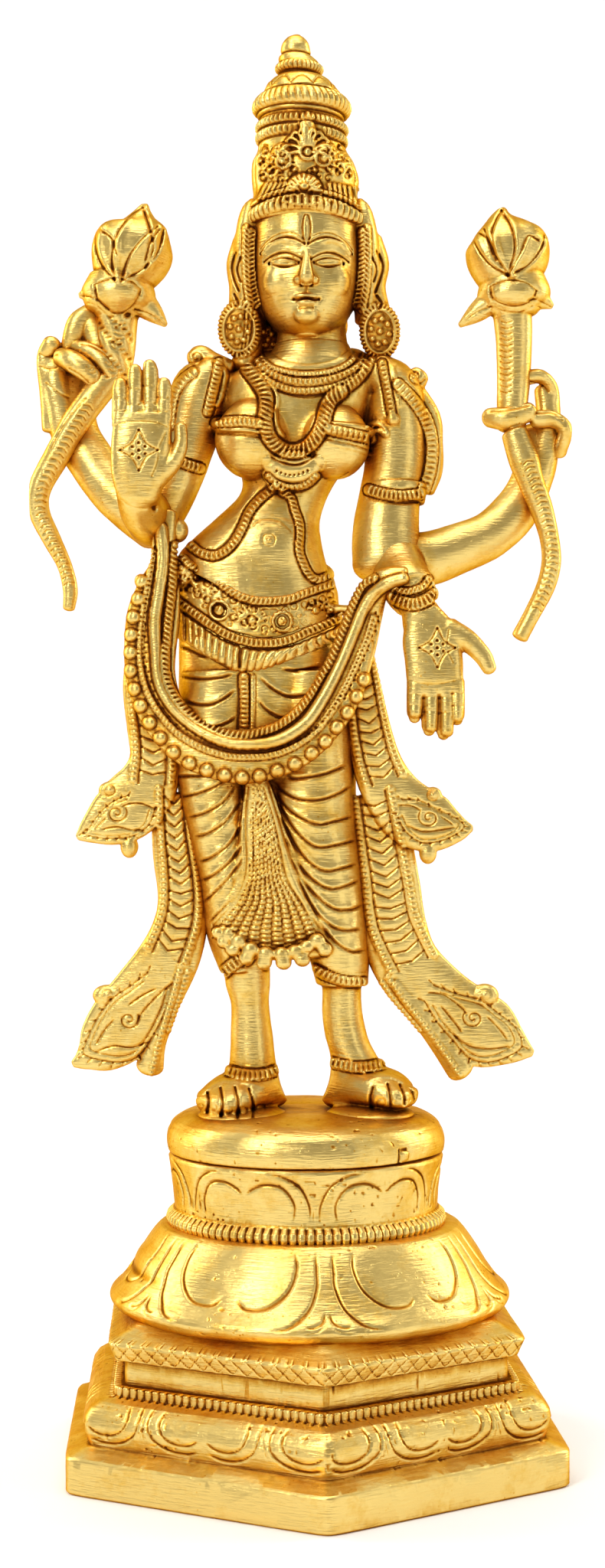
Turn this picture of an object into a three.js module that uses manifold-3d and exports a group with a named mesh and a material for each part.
// Lakshmi: a four-armed goddess standing on a lotus pedestal, cast in gilt brass.
// Millimetres, +Z up, the front faces -Y. The origin is the middle of the pedestal's underside.
// Two castings: the figure with her foot disc, and the pedestal under it.
import * as THREE from "three";
import { mergeVertices } from "three/addons/utils/BufferGeometryUtils.js";
import Module from "manifold-3d";

// ---- driving dimensions
const SLAB_R = 59; // corner radius of the hexagonal foot
const SLAB_H = 7.5;
const HEX_TURN = THREE.MathUtils.degToRad(3); // the front corner stands a little to one side
const TORUS_R = 55; // corner radius of the petalled hexagonal torus
const TORUS_TOP = 18.1;
const STRIP_R = 47.8; // bead strip over the torus
const BAND_R = 45.3; // recessed band
const HATCH_R = 49.2; // cross-hatched band
const HATCH_TOP = 29.2;
const RIM_R = 42.6; // lower rim of the lotus dome
const RIM_Z = 34.2;
const DOME_X = -0.4;
const DOME_PETALS = 12;
const DOME_SIDES = 3 * DOME_PETALS;
const BEAD_R = 29.9; // bead ring over the dome
const BEAD_Z = 50.6;
const WAIST_R = 28.2; // drum at its narrowest
const DRUM_R = 29.3; // drum at the joint
const DRUM_X = -1.15; // the drum and the disc stand a little off the middle
const JOINT_Z = 64.4;
const JOINT_GAP = 0.3;
const DISC_R = 29.7;
const DISC_TOP = 73.3;
const DISC_SIDES = 36;
const FIGURE_TOLERANCE = 0.4; // how far merging slivers may move the surface

const ACROSS = new THREE.Vector3(1, 0, 0);
const UP = new THREE.Vector3(0, 0, 1);
const FORE = new THREE.Vector3(0, 1, 0);

const wasm = await Module();
wasm.setup();

// A closed geometry as a solid that can be joined, with its faces turned outward.
function solid(geometry) {
  const g = geometry.clone();
  g.deleteAttribute("normal");
  g.deleteAttribute("uv");
  const m = mergeVertices(g, 1e-4);
  const p = m.attributes.position,
    tri = new Uint32Array(m.index.array);
  const [a, b, c] = [0, 1, 2].map(() => new THREE.Vector3());
  let volume = 0;
  for (let i = 0; i < tri.length; i += 3) {
    a.fromBufferAttribute(p, tri[i]);
    b.fromBufferAttribute(p, tri[i + 1]);
    c.fromBufferAttribute(p, tri[i + 2]);
    volume += a.dot(b.cross(c)) / 6;
  }
  if (volume < 0)
    for (let i = 0; i < tri.length; i += 3)
      [tri[i + 1], tri[i + 2]] = [tri[i + 2], tri[i + 1]];
  return new wasm.Manifold(
    new wasm.Mesh({
      numProp: 3,
      vertProperties: new Float32Array(p.array),
      triVerts: tri,
    }),
  );
}

// A superellipse's point: 2 is round, larger is squarer.
function section(angle, square) {
  const c = Math.cos(angle),
    s = Math.sin(angle),
    p = 2 / square;
  return [
    Math.sign(c) * Math.abs(c) ** p,
    Math.sign(s) * Math.abs(s) ** p,
  ];
}

// A limb: a cylinder whose rings are laid on stations [x, y, z, half width, half depth].
// `across` is the direction of the half width; null takes it square to the limb in the XZ plane, and "level" keeps every ring horizontal.
// ends: how far each end bulges, as a share of its half width. sag: how far the front of a ring hangs below its back.
function limb(_name, across, sides, stations, { square = 2, sag = 0, ends = [0, 0] } = {}) {
  const at = stations.map(([x, y, z]) => new THREE.Vector3(x, y, z));
  const last = at.length - 1;
  const rings = at.map((p, i) => {
    const t = new THREE.Vector3()
      .subVectors(at[Math.min(i + 1, last)], at[Math.max(i - 1, 0)])
      .normalize();
    const n =
      across === "level"
        ? ACROSS
        : across
          ? across.clone().addScaledVector(t, -across.dot(t)).normalize()
          : new THREE.Vector3().crossVectors(FORE, t).normalize();
    const d =
      across === "level" ? FORE : new THREE.Vector3().crossVectors(t, n);
    return { p, t, n, d, a: stations[i][3], b: stations[i][4] };
  });
  const bulge = (ring, share, sign) => {
    const reach = share * Math.min(ring.a, 1.6 * ring.b);
    return {
      ...ring,
      p: ring.p.clone().addScaledVector(ring.t, sign * reach),
      a: ring.a * 0.55,
      b: ring.b * 0.55,
    };
  };
  if (ends[0] > 0.25) rings.unshift(bulge(rings[0], ends[0], -1));
  if (ends[1] > 0.25) rings.push(bulge(rings.at(-1), ends[1], 1));
  const g = new THREE.CylinderGeometry(1, 1, 1, sides, rings.length - 1);
  const pos = g.attributes.position,
    v = new THREE.Vector3();
  for (let i = 0; i < pos.count; i++) {
    v.fromBufferAttribute(pos, i);
    const ring = rings[Math.round((0.5 - v.y) * (rings.length - 1))];
    const r = Math.hypot(v.x, v.z) > 0.5 ? 1 : 0;
    const [c, s] = section(Math.atan2(v.z, v.x), square);
    v.copy(ring.p)
      .addScaledVector(ring.n, r * c * ring.a)
      .addScaledVector(ring.d, r * s * ring.b);
    v.z += sag * (v.y - ring.p.y);
    pos.setXYZ(i, v.x, v.y, v.z);
  }
  return solid(g);
}

// A knob: a sphere stretched to [x, y, z, half width, half depth, half height].
function knob(_name, sides, [x, y, z, rx, ry, rz]) {
  const g = new THREE.SphereGeometry(1, sides, Math.max(3, sides >> 1));
  g.rotateX(Math.PI / 2).scale(rx, ry, rz).translate(x, y, z);
  return solid(g);
}

// A profile [radius, z] turned about an upright axis at x.
function turned(profile, sides, x = 0, start = 0, shape = null) {
  const g = new THREE.LatheGeometry(
    profile.map(([r, z]) => new THREE.Vector2(r, z)),
    sides,
    start,
  );
  g.rotateX(Math.PI / 2);
  if (shape) {
    const pos = g.attributes.position;
    for (let i = 0; i < pos.count; i++) {
      const k = shape(Math.atan2(pos.getY(i), pos.getX(i)), pos.getZ(i));
      pos.setXY(i, pos.getX(i) * k, pos.getY(i) * k);
    }
  }
  g.translate(x, 0, 0);
  return solid(g);
}

const joined = (list) => list.reduce((a, b) => a.add(b));

// The outer skin of a joined solid, without the slivers that joins leave: an edge is merged where that moves the surface by less than `reach`.
function skin(made, reach) {
  const m = made.getMesh();
  const P = [];
  for (let i = 0; i < m.numVert; i++)
    P.push(
      new THREE.Vector3(
        m.vertProperties[i * m.numProp],
        m.vertProperties[i * m.numProp + 1],
        m.vertProperties[i * m.numProp + 2],
      ),
    );
  let T = [];
  for (let i = 0; i < m.triVerts.length; i += 3)
    T.push([m.triVerts[i], m.triVerts[i + 1], m.triVerts[i + 2]]);

  // keep the shell that encloses most
  const up = P.map((_, i) => i);
  const top = (i) => {
    while (up[i] !== i) i = up[i] = up[up[i]];
    return i;
  };
  for (const [a, b, c] of T) {
    up[top(a)] = top(b);
    up[top(b)] = top(c);
  }
  const volume = new Map();
  for (const t of T) {
    const [a, b, c] = t.map((i) => P[i]);
    const k = top(t[0]);
    volume.set(k, (volume.get(k) ?? 0) + a.dot(new THREE.Vector3().crossVectors(b, c)) / 6);
  }
  const main = [...volume].sort((a, b) => b[1] - a[1])[0][0];
  T = T.filter((t) => top(t[0]) === main);

  const normal = (a, b, c) =>
    new THREE.Vector3().crossVectors(b.clone().sub(a), c.clone().sub(a));
  // each vertex keeps the sum of the planes round it
  const planes = P.map(() => new Float64Array(10));
  const plane = (q, n, d, w) => {
    const v = [n.x, n.y, n.z, d];
    let k = 0;
    for (let i = 0; i < 4; i++) for (let j = i; j < 4; j++) q[k++] += w * v[i] * v[j];
  };
  const away = (q, p) => {
    const v = [p.x, p.y, p.z, 1];
    let k = 0,
      sum = 0;
    for (let i = 0; i < 4; i++)
      for (let j = i; j < 4; j++) sum += (i === j ? 1 : 2) * q[k++] * v[i] * v[j];
    return Math.max(0, sum);
  };
  for (const t of T) {
    const n = normal(...t.map((i) => P[i]));
    const size = n.length();
    if (size < 1e-9) continue;
    n.divideScalar(size);
    for (const i of t) plane(planes[i], n, -n.dot(P[t[0]]), 1);
  }
  for (let round = 0; round < 24; round++) {
    const faces = P.map(() => []);
    T.forEach((t, k) => t.forEach((i) => faces[i].push(k)));
    const around = (i) => {
      const s = new Set();
      for (const k of faces[i]) for (const j of T[k]) if (j !== i) s.add(j);
      return s;
    };
    const edges = [];
    for (const t of T)
      for (let e = 0; e < 3; e++) {
        const a = t[e],
          b = t[(e + 1) % 3];
        if (a > b) continue;
        const q = planes[a].map((v, i) => v + planes[b][i]);
        const spots = [P[a], P[b], P[a].clone().lerp(P[b], 0.5)];
        const costs = spots.map((p) => away(q, p));
        const best = costs.indexOf(Math.min(...costs));
        const cost = costs[best] + 1e-6 * P[a].distanceToSquared(P[b]);
        if (costs[best] < reach * reach) edges.push([cost, a, b, spots[best].clone(), q]);
      }
    edges.sort((x, y) => x[0] - y[0]);
    const touched = new Uint8Array(P.length);
    const gone = new Set();
    let merged = 0;
    for (const [, a, b, spot, q] of edges) {
      const na = around(a),
        nb = around(b);
      if (touched[a] || touched[b]) continue;
      const shared = [...na].filter((i) => nb.has(i));
      if (shared.length !== 2) continue;
      let fine = true;
      for (const [i, other] of [
        [a, b],
        [b, a],
      ])
        for (const k of faces[i]) {
          const t = T[k];
          if (t.includes(other)) continue;
          const before = normal(...t.map((j) => P[j]));
          const after = normal(...t.map((j) => (j === i ? spot : P[j])));
          const size = after.length();
          const longest = Math.max(
            ...[0, 1, 2].map((e) => {
              const p = t[e] === i ? spot : P[t[e]],
                r = t[(e + 1) % 3] === i ? spot : P[t[(e + 1) % 3]];
              return p.distanceToSquared(r);
            }),
          );
          if (size < 0.02 * longest && size < 0.8 * before.length()) fine = false;
          if (before.length() > 1e-7 && after.dot(before) < 0.5 * size * before.length())
            fine = false;
          if (size < 1e-4) fine = false;
          if (!fine) break;
        }
      if (!fine) continue;
      P[a].copy(spot);
      planes[a] = q;
      for (const k of faces[b]) {
        if (T[k].includes(a)) gone.add(k);
        else T[k] = T[k].map((j) => (j === b ? a : j));
      }
      for (const i of na) touched[i] = 1;
      for (const i of nb) touched[i] = 1;
      touched[a] = touched[b] = 1;
      merged++;
    }
    T = T.filter((_, k) => !gone.has(k));
    if (!merged) break;
  }
  const used = new Map();
  const v = [],
    index = [];
  for (const t of T)
    for (const i of t) {
      if (!used.has(i)) {
        used.set(i, used.size);
        v.push(P[i].x, P[i].y, P[i].z);
      }
      index.push(used.get(i));
    }
  const g = new THREE.BufferGeometry();
  g.setAttribute("position", new THREE.Float32BufferAttribute(v, 3));
  g.setIndex(index);
  g.computeVertexNormals();
  return g;
}

// ---- the figure
const disc = turned(
  [
    [0, JOINT_Z + JOINT_GAP / 2],
    [DISC_R - 0.5, JOINT_Z + JOINT_GAP / 2],
    [DISC_R - 0.1, 65.4],
    [DISC_R, 67.2],
    [DISC_R - 0.5, 69.3],
    [DISC_R - 1.9, 71.2],
    [DISC_R - 4.6, 72.6],
    [DISC_R - 9, DISC_TOP - 0.2],
    [0, DISC_TOP],
  ],
  DISC_SIDES,
  DRUM_X,
);

const forms = [
  // Trunk: chest, waist, hips, bust and belly
  limb("trunk", "level", 14, [
    [0.1, 0, 236.3, 7.5, 6.6],
    [0.1, 0.3, 233.8, 9.5, 7.6],
    [-0.1, 0.6, 231.9, 13.8, 8.6],
    [-1.1, 1, 229.5, 17.1, 9.6],
    [-2.7, 1, 225.4, 17.1, 10.2],
    [-3.9, 1, 219.5, 15.9, 10.5],
    [-3.9, 1, 213.9, 14.9, 10.2],
    [-4.4, 0.8, 208.9, 10.8, 9.2],
    [-6, 0.6, 204.3, 9.5, 8.8],
    [-9.5, 0.6, 199, 11.3, 9.5],
    [-11.7, 0.6, 194.8, 13.8, 10.6],
    [-12.9, 0.6, 190.8, 15.8, 11.6],
    [-12.2, 0.7, 184.3, 16.7, 12.2],
    [-11.4, 0.7, 179.3, 16.9, 12.6],
    [-10.8, 0.7, 171.1, 17.6, 13],
    [-9.9, 0.7, 159.6, 18.4, 13],
    [-9.9, 0.6, 146.5, 18.4, 12.6],
  ], { square: 2.15, ends: [0, 0.3] }),
  knob("bust_left", 8, [-12.3, -6, 215.3, 8.1, 7.8, 8.4]),
  knob("bust_right", 8, [4.9, -6, 214.7, 7.4, 7.8, 7.8]),
  knob("belly", 9, [-9.2, -2.5, 191.8, 10.1, 9, 10.1]),
  knob("seat_left", 8, [-18.3, 5.5, 169.8, 9.3, 8.5, 10.3]),
  knob("seat_right", 8, [-2.1, 5.5, 169.8, 9.3, 8.5, 10.3]),
  // Neck, head, ears and hair
  limb("neck", "level", 9, [
    [-0.1, 0, 245.7, 6.9, 6.2],
    [0.1, 0, 240.8, 7.2, 6.3],
    [0.1, 0, 236.7, 7.7, 6.6],
    [0.1, 0, 232.7, 9.5, 7.4],
  ]),
  limb("head", "level", 12, [
    [-1.2, -0.5, 267.3, 9.8, 10.5],
    [-1.2, -0.8, 263.5, 11.1, 11.6],
    [-1.2, -1, 257.7, 11.6, 12.2],
    [-1.1, -1.2, 251.1, 11.4, 12.3],
    [-1.1, -1.4, 245.9, 10.5, 11.8],
    [-0.9, -1.8, 241.8, 8.7, 10.6],
    [-0.8, -2.4, 238.9, 5.9, 8.2],
    [-0.8, -3, 237.5, 3.3, 5],
  ], { ends: [0, 0.35] }),
  knob("hair_back", 9, [-0.7, 4.5, 254.2, 12.2, 10.5, 15.2]),
  knob("knot_back", 8, [-0.4, 6.5, 242.2, 8.3, 5.2, 6.6]),
  limb("ear_left", null, 6, [
    [-15.5, 1, 258.6, 1.3, 3.2],
    [-16.4, 1, 254.1, 1.8, 3.6],
    [-16, 0.5, 249.1, 1.6, 3.4],
    [-15.7, 0, 244.9, 2, 3],
  ], { ends: [0.6, 0.6] }),
  limb("ear_right", null, 6, [
    [13.9, 1, 259.1, 1.3, 3.2],
    [14.9, 1, 254.1, 1.8, 3.6],
    [14.3, 0.5, 249.1, 1.6, 3.4],
    [14.7, 0, 244.5, 2, 3],
  ], { ends: [0.6, 0.6] }),
  limb("hair_left", null, 6, [
    [-11.9, 1, 262.8, 2, 5],
    [-13.6, 1, 257.4, 2.3, 5.6],
    [-14.2, 1, 252.5, 2.3, 6],
    [-12.6, 1.5, 243.6, 2.6, 5],
    [-12.9, 1.5, 236.2, 2.6, 4.5],
    [-14.6, 1, 231.9, 3, 4.5],
  ], { ends: [0.6, 0.6] }),
  limb("hair_right", null, 6, [
    [9.8, 1, 263.5, 2, 5],
    [12.1, 1, 258.2, 2.1, 5.6],
    [12.7, 1, 252.5, 2.1, 6],
    [12.1, 2.5, 246.2, 2, 4.5],
    [13.1, 3, 240.6, 1.2, 2.2],
    [14.1, 1.5, 235.3, 2.3, 3.5],
    [14.4, 1, 231.6, 3, 4.5],
  ], { ends: [0.6, 0.6] }),
  // Skirt: the two legs of the wrapped skirt, the fanned pleat panel between them and the cloth behind it
  limb("skirt_left", "level", 10, [
    [-19.1, -0.6, 166.1, 8.8, 12],
    [-20.1, -0.8, 153, 8.8, 12.4],
    [-20.6, -0.8, 144.8, 8.5, 12.2],
    [-19.7, -0.8, 134.5, 7.4, 11.6],
    [-17.9, -0.6, 122.1, 6.2, 10.4],
    [-16.8, -0.4, 110.3, 5.6, 9.2],
    [-15.8, -0.4, 102.9, 3.9, 8.2],
  ], { ends: [0, 0.15] }),
  limb("skirt_right", "level", 10, [
    [-0.6, -0.6, 166.1, 8.2, 12],
    [-0.1, -0.8, 153, 9.3, 12.4],
    [0.4, -0.8, 137.5, 9.3, 12],
    [2.8, -0.6, 122.6, 8.2, 11],
    [5.6, -0.4, 107.5, 6.7, 9.6],
    [6.6, -0.4, 100, 5.6, 8.6],
  ], { ends: [0, 0.15] }),
  limb("pleat_panel", "level", 9, [
    [-13, -9, 148.7, 1.9, 3.2],
    [-11.2, -9.6, 141.5, 2.9, 3],
    [-10.1, -9.2, 130.2, 5.5, 3],
    [-9.1, -8.4, 120.5, 8.4, 3],
    [-8.2, -7.6, 111.6, 11.6, 3],
    [-7.6, -7, 106.6, 11.3, 2.8],
  ], { square: 3, ends: [0.3, 0.3] }),
  limb("skirt_core", "level", 9, [
    [-10.1, 1, 154.7, 14.8, 10],
    [-9.3, 1, 133.4, 13.5, 8.8],
    [-7.3, 1, 116.9, 14.1, 7.4],
    [-6.3, 1, 106.3, 13.1, 6],
  ], { square: 2.6, ends: [0, 0.1] }),
  // Shins and feet
  limb("leg_left", "level", 9, [
    [-13.9, 0, 109.6, 4.9, 7.2],
    [-13.7, 0, 100.4, 4.8, 6.6],
    [-13.1, 0, 95.3, 4.1, 6],
    [-12.8, 0, 89.1, 4.5, 6],
    [-12.6, 0, 83.5, 4.9, 6.3],
    [-12.4, 0, 78.9, 5.7, 6.8],
    [-12.4, 0, 74.4, 6.1, 7.4],
  ]),
  limb("leg_right", "level", 9, [
    [6.5, 0, 106.3, 5.2, 7.2],
    [6.5, 0, 98.9, 4.2, 6.4],
    [6.6, 0, 93.5, 4.3, 6.1],
    [7.6, 0, 88, 4.6, 6.3],
    [9.1, 0, 83.9, 5.1, 6.6],
    [10.1, 0, 79.6, 6.1, 7.1],
    [10.1, 0, 74.4, 6.6, 7.6],
  ]),
  limb("foot_left", UP, 8, [
    [-11, 3, 76.9, 4.3, 7],
    [-14.4, -4, 77.5, 4.1, 7.2],
    [-17.4, -8.5, 76.7, 3.5, 7],
    [-20, -11, 75.8, 2.7, 6.4],
    [-21.4, -12, 75.3, 1.9, 5],
  ], { square: 2.5, ends: [0.4, 0.5] }),
  limb("foot_right", UP, 8, [
    [7.5, 3, 76.9, 4.3, 6.8],
    [11.6, -3, 78.3, 4.4, 6.8],
    [15.1, -7, 78.2, 3.9, 6.6],
    [18.2, -9.5, 77.2, 2.9, 6],
    [20.4, -10.5, 76.7, 2.1, 5],
  ], { square: 2.5, ends: [0.4, 0.5] }),
  // Tall tiered crown with its front ornaments
  limb("crown", "level", 14, [
    [-1.2, 0, 261.4, 12.8, 12.7],
    [-1.2, 0, 263.4, 13, 13.1],
    [-1.3, 0, 265.8, 12.1, 12.3],
    [-1.3, 0, 268.1, 11.1, 11.2],
    [-1.3, 0, 271.4, 11.4, 11.5],
    [-1.8, 0, 275, 10.8, 10.9],
    [-2, 0, 277.6, 9.5, 9.6],
    [-2.1, 0, 280.3, 9.3, 9.4],
    [-2.1, 0, 282.2, 9.4, 9.5],
    [-2.1, 0, 284.2, 9, 9.1],
    [-2.1, 0, 285.7, 9.8, 9.9],
    [-2.1, 0, 287, 10.2, 10.2],
    [-2.1, 0, 288.6, 9.5, 9.6],
    [-2.2, 0, 290.4, 8, 8.1],
    [-2.4, 0, 292.6, 6.6, 6.5],
    [-2.5, 0, 294.2, 4.4, 4.5],
    [-2.6, 0, 295.5, 4.7, 4.6],
    [-2.7, 0, 296.8, 4.3, 4.2],
    [-3.3, 0, 298, 3.7, 3.7],
    [-3.3, 0, 299.6, 3, 3],
    [-3.2, 0, 301.3, 2, 1.9],
    [-3.1, 0, 302.9, 0.7, 0.7],
  ], { ends: [0, 0.3] }),
  // Ear discs and shoulder scrolls
  knob("earring_left", 9, [-15.5, -2, 239.7, 4.2, 2.6, 5.9]),
  knob("earring_right", 9, [14.6, -2, 239, 4.1, 2.6, 5.9]),
  limb("curl_left", null, 6, [
    [-17.5, 0, 231.4, 2, 2.8],
    [-21.1, 0, 232.9, 2.1, 2.6],
    [-23.7, 0, 233.9, 2.6, 2.6],
    [-25.3, 0, 233.4, 2, 2.4],
  ], { ends: [0.6, 0.6] }),
  limb("curl_right", null, 6, [
    [15.6, 0, 231.7, 2.3, 2.6],
    [18.9, 0.5, 228.6, 2.3, 2.4],
    [21.9, 0.5, 228.9, 2.5, 2.4],
    [23.2, 0.5, 230.2, 2.1, 2.2],
  ], { ends: [0.6, 0.6] }),
  // Four arms and the frilled sleeve edges
  limb("arm_strip_right", null, 6, [
    [21.6, 1.5, 227.4, 2.3, 2.6],
    [25.2, 1.5, 221.4, 2.5, 2.6],
    [26.2, 1.5, 215.6, 2.1, 2.6],
    [26.2, 1.5, 209.8, 2, 2.6],
    [24.9, 1.5, 205.6, 1.6, 2.4],
  ], { ends: [0.6, 0.5] }),
  limb("arm_strip_left", null, 6, [
    [-23.8, 1.5, 232, 1.6, 2.6],
    [-27.7, 1.5, 228.8, 1.6, 2.6],
    [-29.7, 1.5, 223.8, 1.6, 2.6],
    [-30.4, 1.5, 218.9, 1.5, 2.4],
  ], { ends: [0.6, 0.6] }),
  limb("upper_arm_left", null, 9, [
    [-20.8, 0.5, 229.9, 4.6, 7],
    [-23.4, 0.5, 226.6, 6.6, 7.8],
    [-25.4, 0.5, 219.4, 6.2, 7.3],
    [-28.3, 0, 209.6, 5.5, 6.7],
    [-31.4, 0, 201.9, 5.1, 6.3],
    [-33.9, 0, 197, 4.3, 5.9],
  ], { ends: [0.7, 0.8] }),
  limb("forearm_front_left", ACROSS, 8, [
    [-33.4, 1, 199.1, 4.8, 6],
    [-34.3, -5, 199, 4.9, 6],
    [-35.4, -11, 200.1, 4.8, 5.6],
    [-35.9, -15.5, 201.7, 4.4, 4.8],
    [-35.7, -18, 203.9, 4.7, 4],
  ], { ends: [0.6, 0.3] }),
  limb("forearm_rear_left", null, 9, [
    [-33.6, 1, 197.4, 4.8, 6.2],
    [-38, 2, 201.2, 5.1, 6],
    [-43, 3.5, 206, 5.1, 5.8],
    [-47.5, 5, 212.4, 5.1, 5.4],
    [-51.2, 6.5, 218.7, 5.2, 4.9],
    [-52.5, 7.5, 225.2, 5.5, 4.8],
    [-52.4, 8, 231.3, 5.5, 4.6],
  ], { ends: [0.6, 0.5] }),
  limb("upper_arm_right", null, 9, [
    [14, 0.5, 230.5, 4.6, 7.4],
    [17.3, 0.5, 226.6, 6.2, 8],
    [17.8, 0.5, 219.4, 6.6, 7.8],
    [17.8, 0.5, 210.5, 6.4, 7.2],
    [16.6, 0, 203.1, 6.6, 6.9],
    [15.9, -1, 195.6, 7.2, 6.9],
    [16.2, -2.5, 189.3, 7.5, 6.8],
  ], { ends: [0.7, 0.5] }),
  limb("forearm_front_right", null, 8, [
    [17.2, -1.5, 191.2, 6.2, 6.6],
    [19, -6, 186.8, 5.5, 6],
    [20.9, -10, 182.9, 4.7, 5.4],
    [22.1, -12.5, 179.4, 3.7, 4.6],
    [22.8, -14, 176.1, 3.8, 4],
  ], { ends: [0.6, 0.3] }),
  limb("forearm_rear_right", null, 9, [
    [19.9, 0.5, 190.8, 5.6, 6.4],
    [25.3, 2, 191.1, 5.8, 6.3],
    [32, 3.5, 193.5, 5.4, 6],
    [38.7, 5, 196.6, 5.1, 5.6],
    [44.1, 6, 201.7, 5, 5.2],
    [47.5, 7, 207.9, 4.5, 4.8],
    [48.9, 7.5, 213.9, 4.7, 4.6],
    [48.2, 7.5, 218.9, 4.3, 4.2],
  ], { ends: [0.6, 0.5] }),
  // Palms, fingers and thumbs
  limb("palm_left", ACROSS, 8, [
    [-35.7, -17.6, 202.2, 4.4, 3.6],
    [-35.5, -18.8, 206.3, 5.8, 3.3],
    [-35.1, -19.4, 211.4, 6.2, 2.9],
    [-34.8, -19.5, 215.3, 6, 2.5],
    [-34.8, -19.5, 217.6, 5.7, 2.2],
  ], { square: 2.6, ends: [0.6, 0.4] }),
  limb("left_little", ACROSS, 5, [
    [-39.5, -19.6, 215.9, 1.5, 1.7],
    [-39.2, -19.8, 220, 1.5, 1.6],
    [-39.3, -19.4, 224.6, 1.3, 1.4],
  ], { ends: [0.3, 0.9] }),
  limb("left_ring", ACROSS, 5, [
    [-36.5, -19.6, 215.9, 1.5, 1.7],
    [-36.5, -19.8, 220, 1.5, 1.6],
    [-36.5, -19.4, 227.3, 1.3, 1.4],
  ], { ends: [0.3, 0.9] }),
  limb("left_middle", ACROSS, 5, [
    [-33.5, -19.6, 215.9, 1.5, 1.7],
    [-33.3, -19.8, 220, 1.5, 1.6],
    [-33.3, -19.4, 228.4, 1.3, 1.4],
  ], { ends: [0.3, 0.9] }),
  limb("left_index", ACROSS, 5, [
    [-30.7, -19.6, 215.9, 1.5, 1.7],
    [-30.4, -19.8, 220, 1.5, 1.6],
    [-30.4, -19.4, 224.6, 1.3, 1.4],
  ], { ends: [0.3, 0.9] }),
  limb("left_thumb", null, 6, [
    [-31.7, -18.6, 205.7, 2.4, 2.6],
    [-28.5, -19.4, 208.4, 1.9, 2.1],
    [-26.9, -19.8, 212.1, 1.5, 1.7],
    [-26.9, -19.8, 215.5, 1.3, 1.5],
  ], { ends: [0.3, 0.8] }),
  limb("left_raised_finger", null, 6, [
    [-56.6, 6.5, 219.7, 1.8, 2.6],
    [-57.1, 5.5, 227.9, 1.8, 2.4],
    [-57.3, 4, 234.5, 2, 2],
    [-55.8, 2.5, 237.2, 2.1, 1.9],
  ], { ends: [0.5, 0.8] }),
  limb("left_grip_1", null, 6, [
    [-53.3, 3.5, 234.4, 2.1, 2.2],
    [-49, 0, 231.4, 2.1, 2.2],
    [-45.6, -0.5, 228.4, 1.5, 2],
  ], { ends: [0.8, 0.8] }),
  limb("left_grip_2", null, 6, [
    [-50, 3.5, 236.4, 1.8, 2.2],
    [-45.3, 0, 234, 2, 2.2],
    [-42, -0.5, 230, 1.5, 2],
  ], { ends: [0.8, 0.8] }),
  limb("left_grip_thumb", null, 6, [
    [-51, 4, 239.2, 2.1, 2.6],
    [-49.2, 3, 242.2, 2.3, 2.6],
    [-46.5, 2, 243.7, 1.8, 2.2],
  ], { ends: [0.8, 0.8] }),
  limb("palm_right", ACROSS, 8, [
    [22.8, -13.4, 177.8, 3.8, 4],
    [24.3, -14.6, 173.5, 5.6, 3.3],
    [25.2, -15.4, 168.7, 6, 3],
    [25.5, -15.8, 164.5, 5.9, 2.8],
    [25.7, -15.8, 161.7, 5.8, 2.4],
  ], { square: 2.6, ends: [0.6, 0.4] }),
  limb("right_index", ACROSS, 5, [
    [21.6, -16, 163.6, 1.7, 2],
    [21.4, -16.3, 159.4, 1.7, 1.9],
    [21.4, -16.6, 156.9, 1.4, 1.7],
  ], { ends: [0.3, 0.8] }),
  limb("right_middle", ACROSS, 5, [
    [24.6, -16, 163.6, 1.7, 2],
    [24.7, -16.3, 159.4, 1.7, 1.9],
    [24.7, -16.6, 154, 1.4, 1.7],
  ], { ends: [0.3, 0.8] }),
  limb("right_ring", ACROSS, 5, [
    [27.4, -16, 163.6, 1.7, 2],
    [27.9, -16.3, 159.4, 1.7, 1.9],
    [27.9, -16.6, 153.1, 1.4, 1.7],
  ], { ends: [0.3, 0.8] }),
  limb("right_little", ACROSS, 5, [
    [30, -16, 163.6, 1.6, 2],
    [30.1, -16.3, 159.4, 1.6, 1.9],
    [30.1, -16.6, 155.9, 1.2, 1.7],
  ], { ends: [0.3, 0.8] }),
  limb("right_thumb", null, 6, [
    [28.5, -14.6, 174.2, 2.7, 3],
    [32.4, -15.4, 172, 2.3, 2.4],
    [35.3, -16, 169, 1.9, 2],
    [36.7, -16.4, 166.2, 1.5, 1.7],
  ], { ends: [0.4, 0.8] }),
  limb("right_grip_1", null, 6, [
    [38.4, 1, 221.1, 2.1, 2.4],
    [41.8, -1, 220.7, 2.5, 2.4],
    [46.5, 0, 222.2, 2.1, 2.2],
  ], { ends: [0.8, 0.8] }),
  limb("right_grip_2", null, 6, [
    [48.2, 1, 220.8, 2, 2.2],
    [51.8, 0.5, 220.7, 1.8, 2.1],
    [54.4, 0.5, 218.4, 1.5, 1.9],
    [53.5, 4, 214.4, 1.7, 2],
  ], { ends: [0.7, 0.7] }),
  limb("right_grip_3", null, 6, [
    [45.6, 1.5, 229.7, 1.6, 2],
    [49.2, 1.5, 230.1, 1.5, 2],
    [51.8, 3.5, 227.8, 1.5, 2],
    [52.1, 6.5, 223.1, 1.7, 2.4],
  ], { ends: [0.7, 0.7] }),
  // Armlets, bangle and anklets
  limb("armlet_left", null, 9, [
    [-28.4, 0, 208.5, 5.6, 6.8],
    [-28.8, 0, 207.5, 5.8, 7.1],
    [-29.4, 0, 206.2, 5.8, 7.1],
    [-29.9, 0, 205.2, 5.6, 6.8],
  ]),
  limb("armlet_right", null, 9, [
    [17.7, 0, 206.7, 6.6, 7.2],
    [17.7, 0, 205.6, 6.8, 7.5],
    [17.6, 0, 204.1, 6.8, 7.5],
    [17.5, 0, 203.1, 6.6, 7.2],
  ]),
  limb("bangle_right", null, 9, [
    [19.3, -6.6, 186.2, 5.1, 5.9],
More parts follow.
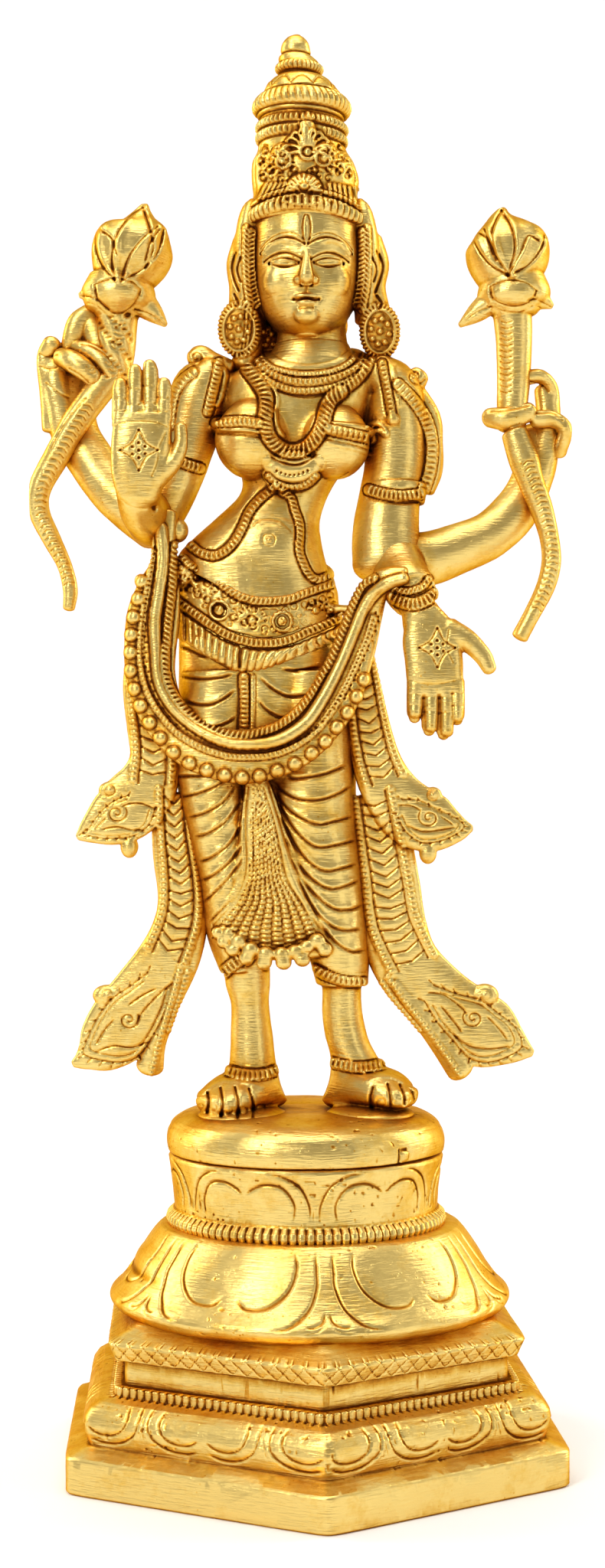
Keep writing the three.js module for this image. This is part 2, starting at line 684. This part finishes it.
    [19.9, -8, 184.8, 5.3, 6.2],
    [20.7, -10, 183.1, 5.3, 6.2],
    [21.3, -11.4, 181.8, 5, 5.9],
  ]),
  limb("anklet_left", ACROSS, 9, [
    [-12.6, 0, 82.1, 5.7, 7],
    [-12.6, 0, 81.2, 5.9, 7.3],
    [-12.5, 0, 80, 5.9, 7.3],
    [-12.5, 0, 79.1, 5.7, 7],
  ]),
  limb("anklet_right", ACROSS, 9, [
    [9.5, 0, 82.9, 5.8, 7.2],
    [9.6, 0, 82.1, 6.1, 7.5],
    [9.8, 0, 81, 6.1, 7.5],
    [10, 0, 80.3, 5.8, 7.2],
  ]),
  // Collar, garland, bust band, belt and the frill under it
  limb("collar", "level", 12, [
    [-0.1, 0.8, 235.5, 9.2, 7.6],
    [-0.3, 0.8, 234.5, 12.2, 8.6],
    [-0.4, 0.8, 232.6, 14.1, 9.8],
    [-0.6, 0.8, 230.8, 13.1, 10.2],
    [-0.8, 0.8, 229.8, 11.2, 9.8],
  ], { sag: 0.52 }),
  limb("garland", null, 5, [
    [-14.4, -6.6, 231.4, 1.6, 1.7],
    [-11, -10.2, 225.2, 1.8, 1.7],
    [-8.8, -12.6, 218.7, 1.9, 1.8],
    [-6.5, -12.6, 214.2, 2.1, 1.9],
    [-3.3, -12.4, 212.3, 2.1, 2],
    [-0.1, -12.6, 214.2, 2.1, 1.9],
    [2.7, -12.6, 218.9, 1.9, 1.8],
    [5.6, -10.4, 224.2, 1.8, 1.7],
    [11.2, -7, 228.7, 1.6, 1.7],
  ], { ends: [0.5, 0.5] }),
  limb("sternum_plate", "level", 6, [
    [-4.3, -9.6, 210.6, 5.5, 2],
    [-4.5, -9.4, 207.4, 5.8, 1.8],
    [-5.3, -8.8, 204.9, 3.9, 1.4],
  ], { square: 2.6, ends: [0.3, 0.3] }),
  limb("bust_band_left", UP, 5, [
    [-19.9, -4, 218.6, 1.1, 2],
    [-17.4, -11.2, 217.3, 1.3, 1.8],
    [-13.5, -13.4, 217, 1.4, 1.6],
    [-9.1, -13, 216.4, 1.4, 1.6],
  ], { square: 2.4, ends: [0.4, 0.4] }),
  limb("bust_band_right", UP, 5, [
    [1.8, -13, 216.4, 1.4, 1.6],
    [5.9, -13.2, 216.4, 1.4, 1.6],
    [9.5, -11, 216.4, 1.4, 1.8],
    [12.2, -4, 217, 1.1, 2],
  ], { square: 2.4, ends: [0.4, 0.4] }),
  limb("belt", "level", 16, [
    [-12.4, 0.5, 188.8, 16.1, 11.4],
    [-12.4, 0.5, 187.7, 16.8, 12.2],
    [-11.9, 0.5, 184.6, 17.2, 12.5],
    [-11.6, 0.5, 181, 17.5, 12.9],
    [-11.4, 0.5, 179.5, 17.6, 13.1],
    [-11.4, 0.5, 178.3, 16.7, 12.2],
  ], { square: 2.15, sag: 0.42 }),
  limb("frill", "level", 16, [
    [-11.4, 0.5, 179.7, 16.9, 12.4],
    [-11.3, 0.5, 178.3, 17.6, 13],
    [-10.9, 0.5, 175.7, 17.9, 13.3],
    [-10.8, 0.5, 173.4, 17.7, 13.1],
    [-10.8, 0.5, 172.8, 16.7, 12],
  ], { square: 2.15, sag: 0.4 }),
  limb("hip_strut", null, 5, [
    [3, -4, 179.6, 1.3, 2],
    [7, -6, 179.2, 1.1, 1.8],
    [10.8, -8, 179, 1.1, 1.8],
  ]),
  // Sash that hangs in a loop across the thighs
  limb("sash", null, 8, [
    [-30.8, -7.5, 199.3, 2.7, 2.6],
    [-31.1, -8, 194.7, 2.6, 2.4],
    [-31.1, -8, 189.2, 2.6, 2.4],
    [-31.9, -7.8, 184.7, 4.2, 2.3],
    [-33.2, -7.6, 178.3, 5.6, 2.3],
    [-34, -7.8, 170.5, 5.5, 2.3],
    [-33.8, -8.2, 165, 5.2, 2.3],
    [-32.1, -9, 159.2, 5, 2.3],
    [-28.7, -10, 154, 5, 2.3],
    [-22.9, -11.6, 149.6, 5.1, 2.3],
    [-14.2, -13, 148, 5.7, 2.3],
    [-5.2, -13.2, 150.4, 5.6, 2.3],
    [0.8, -12.6, 155.2, 5.4, 2.3],
    [5.5, -11.6, 161.6, 5, 2.3],
    [8.7, -10.8, 170, 4.5, 2.3],
    [11.1, -10.8, 178, 3.8, 2.3],
    [13.3, -11.5, 183.1, 3, 2.6],
    [16.1, -13, 185, 2.6, 3],
    [19.6, -14, 185.7, 1.9, 2.6],
  ], { square: 2.8, ends: [0.4, 0.5] }),
  knob("sash_knob", 6, [-28.3, -6.5, 196, 2.3, 2.4, 2.6]),
  // The four sash tails with leaf-shaped ends
  limb("tail_ul", null, 8, [
    [-35.4, -6.8, 171.9, 3.7, 2],
    [-35.4, -6.6, 162.5, 4.4, 2],
    [-34, -6, 154.5, 5, 2],
    [-33.2, -5.4, 148, 5.3, 2],
    [-34.8, -5, 142.2, 6.5, 2],
    [-38.7, -4.8, 137.6, 7, 2],
    [-43, -4.6, 134.7, 5.7, 1.9],
    [-46.9, -4.4, 132.6, 3.1, 1.7],
    [-49.7, -4.3, 131.1, 0.6, 1],
  ], { square: 3, ends: [0.3, 0.3] }),
  knob("tail_ul_curl", 6, [-42.8, -5, 141.2, 2.3, 2, 1.8]),
  knob("tail_ul_lobe", 6, [-38.6, -4.4, 129.2, 1.9, 2, 2.4]),
  limb("tail_ll", null, 8, [
    [-29.4, -3.4, 139.9, 4.6, 2],
    [-28.9, -3, 128.5, 4.9, 2],
    [-27.5, -2.6, 118.4, 5.2, 2],
    [-28.2, -2, 111.2, 5.9, 2],
    [-31, -1.2, 104.3, 6.7, 2],
    [-35.6, -0.4, 97.2, 7.4, 2],
    [-40.8, 0.4, 90.4, 7.7, 2],
    [-45.4, 1, 85.9, 5.8, 1.9],
    [-48.8, 1.4, 83.5, 2.5, 1.7],
    [-51.2, 1.6, 82.4, 0.7, 1],
  ], { square: 3, ends: [0.3, 0.3] }),
  limb("tail_ll_lobe", null, 6, [
    [-28.2, -1.2, 102, 2, 2.3],
    [-30.7, -0.4, 94.4, 2.1, 2.3],
    [-33.4, 0.4, 87.1, 2.3, 2.3],
    [-34.6, 0.8, 82.1, 3, 2.3],
  ], { ends: [0.4, 0.7] }),
  knob("tail_ll_curl", 6, [-43.7, 0, 97.3, 3.1, 2.2, 2.3]),
  limb("tail_ur", null, 8, [
    [9.1, -7.5, 172.8, 3.2, 2],
    [10.7, -6.6, 162.5, 4, 2],
    [12.2, -6, 153.6, 4.7, 2],
    [14, -5.4, 146.4, 5.3, 2],
    [16.9, -5, 140.7, 6, 2],
    [21.3, -4.8, 136, 6.8, 2],
    [26.8, -4.6, 133.9, 6, 1.9],
    [31.1, -4.4, 133.1, 3.2, 1.7],
    [34.2, -4.3, 133.1, 0.6, 1],
  ], { square: 3, ends: [0.3, 0.3] }),
  knob("tail_ur_curl", 6, [25.7, -5, 140.1, 1.9, 2, 1.8]),
  knob("tail_ur_lobe", 6, [24.7, -4.4, 127.9, 1.9, 2, 2.4]),
  limb("tail_lr", null, 8, [
    [13.6, -3.4, 139.9, 5.7, 2],
    [15.2, -3, 129.3, 6.4, 2],
    [16.4, -2.6, 120.3, 6.8, 2],
    [17.4, -2, 111.8, 7.2, 2],
    [20.2, -1.2, 104.3, 7.2, 2],
    [25.6, -0.4, 98, 7.4, 2],
    [31.7, 0.4, 92.4, 8, 2],
    [38.4, 1, 88.7, 7.6, 1.9],
    [43.6, 1.4, 86.2, 4.1, 1.7],
    [47.6, 1.6, 84.7, 0.7, 1],
  ], { square: 3, ends: [0.3, 0.3] }),
  limb("tail_lr_lobe", null, 6, [
    [17.6, -1.2, 100.3, 1.8, 2.2],
    [22.7, -0.4, 93.7, 2.1, 2.2],
    [27.5, 0.4, 87.4, 2.5, 2.2],
    [31.9, 0.8, 81.5, 3.1, 2.2],
  ], { ends: [0.4, 0.7] }),
  knob("tail_lr_curl", 6, [37.1, 0, 97.3, 3, 2.2, 2.5]),
  // Lotus and stalk on the side of the raised palm
  limb("lotus_left_bud", null, 10, [
    [-41.1, 0, 248.5, 4.9, 4.9],
    [-40.3, 0, 251.1, 6.9, 6.8],
    [-39, 0, 254.7, 8.5, 8.4],
    [-37.6, 0, 258.3, 8.5, 8.4],
    [-36.5, 0, 261.3, 6.2, 6.4],
    [-36.2, 0, 263.7, 3.1, 3.4],
    [-35.8, 0, 266.5, 0.7, 0.8],
  ], { ends: [0.2, 0.3] }),
  limb("lotus_left_collar", null, 10, [
    [-40.9, 0, 251.1, 6.6, 6.6],
    [-41.2, 0, 247.5, 8, 8],
    [-41.6, 0, 244.9, 7.2, 7.2],
    [-41.7, 0, 242.9, 4.9, 5],
  ], { ends: [0.1, 0.2] }),
  limb("lotus_left_sepal_l", null, 5, [
    [-44.9, -1, 248.2, 2.3, 3],
    [-47.5, -1, 247.3, 1.6, 2],
    [-49.7, -1, 246.9, 0.5, 0.8],
  ], { ends: [0, 0.2] }),
  limb("lotus_left_sepal_r", null, 5, [
    [-36.7, -1, 245.9, 3.3, 3],
    [-33.5, -1, 243, 2.1, 2],
    [-31, -1, 240.5, 0.5, 0.8],
  ], { ends: [0, 0.2] }),
  limb("lotus_left_neck", null, 8, [
    [-41.6, 0, 244.9, 4.8, 4.8],
    [-41.8, 1, 240.2, 4.4, 4.6],
    [-42.2, 1.5, 235, 4.3, 4.4],
    [-42.6, 2, 230.5, 3.6, 4],
    [-44.2, 2, 227.5, 3.1, 3.4],
  ], { ends: [0, 0.3] }),
  limb("stalk_left", null, 6, [
    [-42.8, 1, 230, 3.1, 3.4],
    [-46, 0.5, 226.3, 3.1, 3.2],
    [-50.5, 0.5, 220, 3, 3],
    [-54.8, 1, 212.6, 2.8, 2.8],
    [-58.3, 1.5, 206.1, 2.5, 2.6],
    [-58.5, 2, 201.2, 2.3, 2.4],
    [-55.9, 2, 195.4, 2, 2.2],
    [-53.1, 2, 189.7, 1.6, 1.9],
    [-51.8, 2, 184.4, 1.6, 1.8],
    [-52.1, 2, 180.4, 1.3, 1.5],
  ], { ends: [0.4, 0.5] }),
  // Lotus and stalk on the side of the lowered palm
  limb("lotus_right_bud", null, 10, [
    [43.3, 0, 248.1, 4.9, 4.9],
    [42.7, 0, 251.1, 7.5, 7.4],
    [42.2, 0, 254.7, 8.9, 8.6],
    [41.7, 0, 258.3, 8.7, 8.4],
    [41.1, 0, 261.1, 6.2, 6.4],
    [40.7, 0, 263.5, 3.1, 3.4],
    [40.7, 0, 265.7, 0.7, 0.8],
  ], { ends: [0.2, 0.3] }),
  limb("lotus_right_collar", null, 10, [
    [43, 0, 250.8, 6.9, 6.8],
    [43.3, 0, 247.5, 7.9, 7.8],
    [43.5, 0, 245.2, 7.2, 7.2],
    [43.7, 0, 243.2, 4.9, 5],
  ], { ends: [0.1, 0.2] }),
  limb("lotus_right_sepal_l", null, 5, [
    [38.5, -1, 245.9, 2.8, 3],
    [34.9, -1, 243, 2, 2],
    [31.6, -1, 240.5, 0.5, 0.8],
  ], { ends: [0, 0.2] }),
  limb("lotus_right_sepal_r", null, 5, [
    [47, -1, 246.9, 2.9, 3],
    [49.6, -1, 245.6, 1.8, 2],
    [51.6, -1, 244.5, 0.5, 0.8],
  ], { ends: [0, 0.2] }),
  limb("lotus_right_neck", null, 8, [
    [42.9, 0, 244.9, 4.3, 4.4],
    [43.4, 0.5, 238.4, 3.9, 4.2],
    [43.4, 1, 230.3, 3.6, 3.8],
    [43.1, 1, 223.7, 3.3, 3.4],
    [43, 1, 218.8, 3, 3.2],
  ], { ends: [0, 0.3] }),
  limb("stalk_right", null, 6, [
    [43.5, 0, 217.6, 2.8, 3],
    [45.4, -0.5, 212, 3.3, 3],
    [46.9, -0.5, 207.4, 2.8, 2.8],
    [49.1, 0, 201.9, 2.5, 2.6],
    [50.9, 0.5, 195.7, 2.1, 2.4],
    [51.4, 0.5, 190, 2.1, 2.2],
    [50.1, 0.5, 184.6, 2, 2.1],
    [47.3, 0.5, 179, 1.8, 2],
    [44.7, 0.5, 174.1, 1.8, 2],
  ], { ends: [0.4, 0.4] }),
];

const figure = joined([disc, ...forms]);

// ---- the pedestal
const hexagon = turned(
  [
    [0, 0],
    [SLAB_R - 0.7, 0],
    [SLAB_R, 0.7],
    [SLAB_R, SLAB_H - 0.6],
    [SLAB_R - 0.6, SLAB_H],
    [54.2, 8.8],
    [53.4, 9.4],
    [TORUS_R - 0.5, 11.2],
    [TORUS_R, 13.4],
    [TORUS_R - 0.8, 15.6],
    [TORUS_R - 3, 17.4],
    [TORUS_R - 6, TORUS_TOP],
    [STRIP_R, TORUS_TOP + 0.1],
    [STRIP_R, TORUS_TOP + 1.9],
    [BAND_R, TORUS_TOP + 2.1],
    [BAND_R, 24.9],
    [HATCH_R - 1.5, 25.5],
    [HATCH_R, HATCH_TOP - 0.4],
    [HATCH_R - 0.3, HATCH_TOP],
    [44.6, 31],
    [42.4, 32.6],
    [0, 32.6],
  ],
  6,
  0,
  HEX_TURN,
);

// The dome's rim is scalloped where its petals meet.
const scallop = (angle, z) => {
  const part = (((angle / (2 * Math.PI)) * DOME_PETALS) % 1 + 1) % 1;
  const joint = Math.abs(part) < 0.1 || part > 0.9 ? 1 : 0;
  const reach = THREE.MathUtils.clamp(1 - Math.abs(z - 36) / 9, 0, 1);
  return 1 - 0.022 * joint * reach;
};
const dome = turned(
  [
    [0, 31.5],
    [RIM_R - 3.2, 31.5],
    [RIM_R - 0.9, RIM_Z - 1],
    [RIM_R, RIM_Z],
    [RIM_R - 0.7, 35.8],
    [39.8, 37.6],
    [38.4, 39.6],
    [37.2, 41.4],
    [35.9, 44],
    [33.2, 47.8],
    [31, 49.6],
    [0, 49.8],
  ],
  DOME_SIDES,
  DOME_X,
  0,
  scallop,
);
const drum = turned(
  [
    [0, 48.8],
    [BEAD_R - 1.6, 48.8],
    [BEAD_R, BEAD_Z - 1],
    [BEAD_R, BEAD_Z + 0.6],
    [BEAD_R - 1.2, BEAD_Z + 1.8],
    [WAIST_R, 53.4],
    [WAIST_R + 0.1, 56],
    [WAIST_R + 0.6, 60],
    [DRUM_R, JOINT_Z - 1],
    [DRUM_R - 0.2, JOINT_Z - JOINT_GAP / 2],
    [0, JOINT_Z - JOINT_GAP / 2],
  ],
  DISC_SIDES,
  DRUM_X,
);
const pedestal = joined([hexagon, dome, drum]);

// ---- the scene
const gilt = new THREE.MeshStandardMaterial({
  color: 0xd9b44a,
  metalness: 1,
  roughness: 0.32,
});
const giltBase = new THREE.MeshStandardMaterial({
  color: 0xd2a83f,
  metalness: 1,
  roughness: 0.36,
});

const part = new THREE.Group();
const figureMesh = new THREE.Mesh(skin(figure, FIGURE_TOLERANCE), gilt);
figureMesh.name = "figure";
const pedestalMesh = new THREE.Mesh(skin(pedestal, 0.01), giltBase);
pedestalMesh.name = "pedestal";
part.add(figureMesh, pedestalMesh);

export default part;
